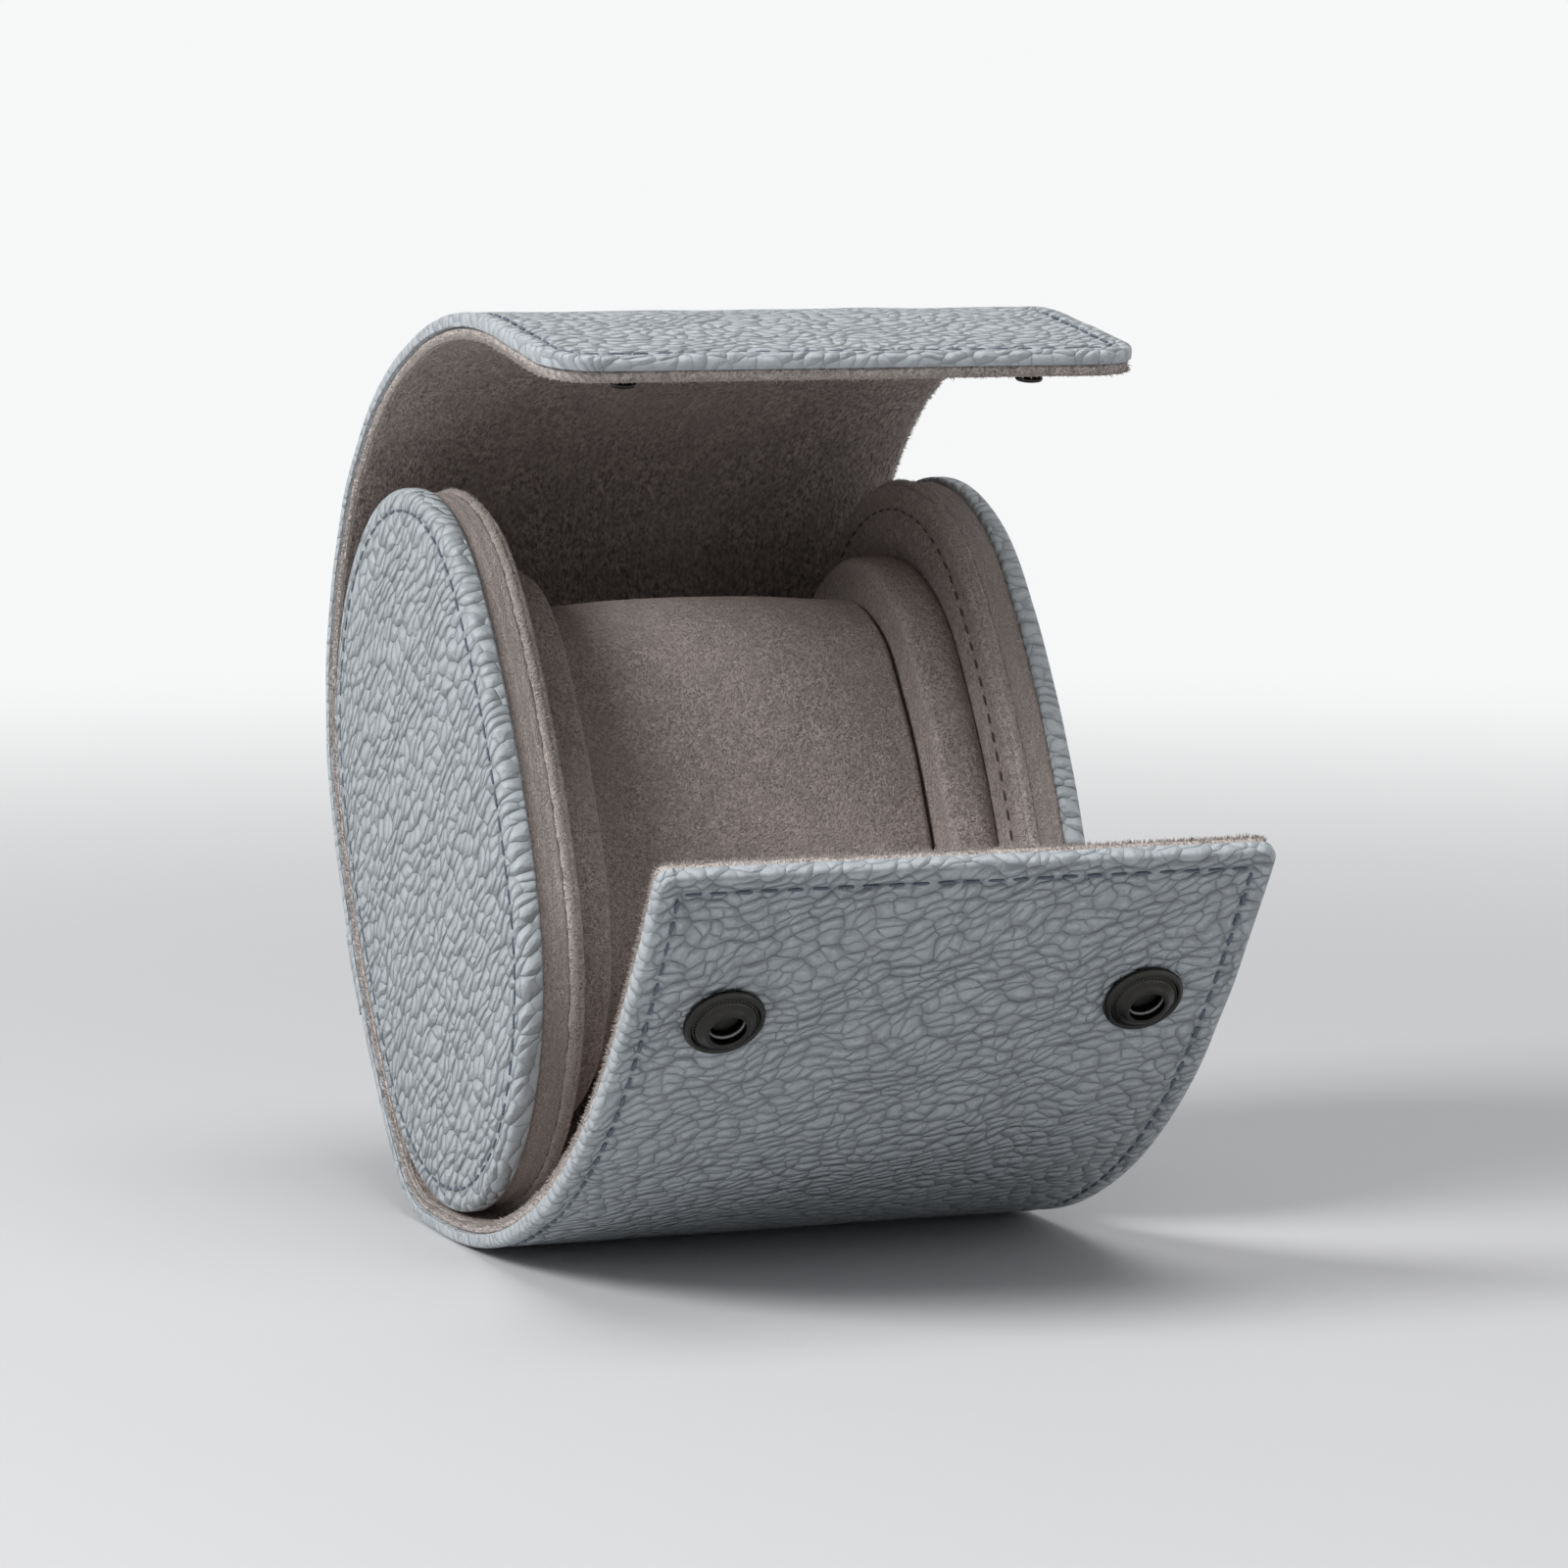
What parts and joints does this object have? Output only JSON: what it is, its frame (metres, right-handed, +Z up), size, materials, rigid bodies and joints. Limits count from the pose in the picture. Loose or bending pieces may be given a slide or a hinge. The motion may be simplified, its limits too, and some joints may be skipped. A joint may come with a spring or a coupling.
{
  "type": "watch roll",
  "caption": "Open watch roll: leather and suede wrap with two snap flaps round oval end walls and a slide-out pillow.",
  "frame": {"origin": "point on the floor under the middle of the foot's width, straight below the centre of the end walls' lower curve", "axes": "+X along the roll to its right end, +Y to its back, +Z up"},
  "size_m": [0.085, 0.1503, 0.1297],
  "materials": {
    "leather": "pebbled",
    "lining_suede": "matte",
    "wall_suede": "matte",
    "pillow_suede": "matte",
    "board": "matte",
    "foam": "matte",
    "gunmetal": "polished",
    "spring_steel": "polished"
  },
  "bodies": {
    "roll": {"foot_leather": "leather", "back_leather": "leather", "back_lining": "lining_suede", "back_board": "board", "left_cap_leather": "leather", "left_cap_board": "board", "left_wall_core": "foam", "left_wall_band": "wall_suede", "left_wall_seam": "wall_suede", "left_inner_panel": "wall_suede", "left_pad_cover": "pillow_suede", "left_pad_core": "foam", "right_cap_leather": "leather", "right_cap_board": "board", "right_wall_core": "foam", "right_wall_band": "wall_suede", "right_wall_seam": "wall_suede", "right_inner_panel": "wall_suede", "right_pad_cover": "pillow_suede", "right_pad_core": "foam"},
    "top_flap_root": {"top_flap_root_leather": "leather", "top_flap_root_lining": "lining_suede", "top_flap_root_board": "board"},
    "top_flap_middle": {"top_flap_middle_leather": "leather", "top_flap_middle_lining": "lining_suede", "top_flap_middle_board": "board"},
    "top_flap_end": {"top_flap_end_leather": "leather", "top_flap_end_lining": "lining_suede", "top_flap_end_board": "board", "snap_studs": "gunmetal", "snap_stud_posts": "gunmetal"},
    "front_flap_root": {"front_flap_root_leather": "leather", "front_flap_root_lining": "lining_suede", "front_flap_root_board": "board"},
    "front_flap_middle": {"front_flap_middle_leather": "leather", "front_flap_middle_lining": "lining_suede", "front_flap_middle_board": "board"},
    "front_flap_end": {"front_flap_end_leather": "leather", "front_flap_end_lining": "lining_suede", "front_flap_end_board": "board", "snap_sockets": "gunmetal", "snap_springs": "spring_steel", "snap_socket_posts": "gunmetal"},
    "pillow": {"pillow_sleeve": "pillow_suede", "pillow_left_end": "pillow_suede", "pillow_right_end": "pillow_suede", "pillow_core": "foam"}
  },
  "joints": [
    {"name": "top_flap_fold", "type": "hinge", "parent": "roll", "child": "top_flap_root", "pos_m": [0, 0.05137, 0.08839], "axis": [1, 0, 0], "range_deg": [-6, 15.6]},
    {"name": "top_flap_bend", "type": "hinge", "parent": "top_flap_root", "child": "top_flap_middle", "pos_m": [0, 0.03706, 0.10961], "axis": [1, 0, 0], "range_deg": [-5.13, 13.33]},
    {"name": "top_flap_crest", "type": "hinge", "parent": "top_flap_middle", "child": "top_flap_end", "pos_m": [0, -0.01185, 0.1279], "axis": [1, 0, 0], "range_deg": [-9.19, 23.89]},
    {"name": "front_flap_fold", "type": "hinge", "parent": "roll", "child": "front_flap_root", "pos_m": [0, -0.0134, 0.00261], "axis": [-1, 0, 0], "range_deg": [-5, 21.3]},
    {"name": "front_flap_bend", "type": "hinge", "parent": "front_flap_root", "child": "front_flap_middle", "pos_m": [0, -0.03506, 0.00825], "axis": [-1, 0, 0], "range_deg": [-5, 21.3]},
    {"name": "front_flap_crest", "type": "hinge", "parent": "front_flap_middle", "child": "front_flap_end", "pos_m": [0, -0.05638, 0.02014], "axis": [-1, 0, 0], "range_deg": [-4.86, 20.7]},
    {"name": "pillow_slide", "type": "slide", "parent": "roll", "child": "pillow", "axis": [0, -0.8572, 0.515], "range_m": [0, 0.012]}
  ],
  "couplings": [
    {"joint": "top_flap_bend", "follows": "top_flap_fold", "ratio": 0.85449},
    {"joint": "top_flap_crest", "follows": "top_flap_fold", "ratio": 1.5314},
    {"joint": "front_flap_bend", "follows": "front_flap_fold", "ratio": 1},
    {"joint": "front_flap_crest", "follows": "front_flap_fold", "ratio": 0.97183}
  ]
}
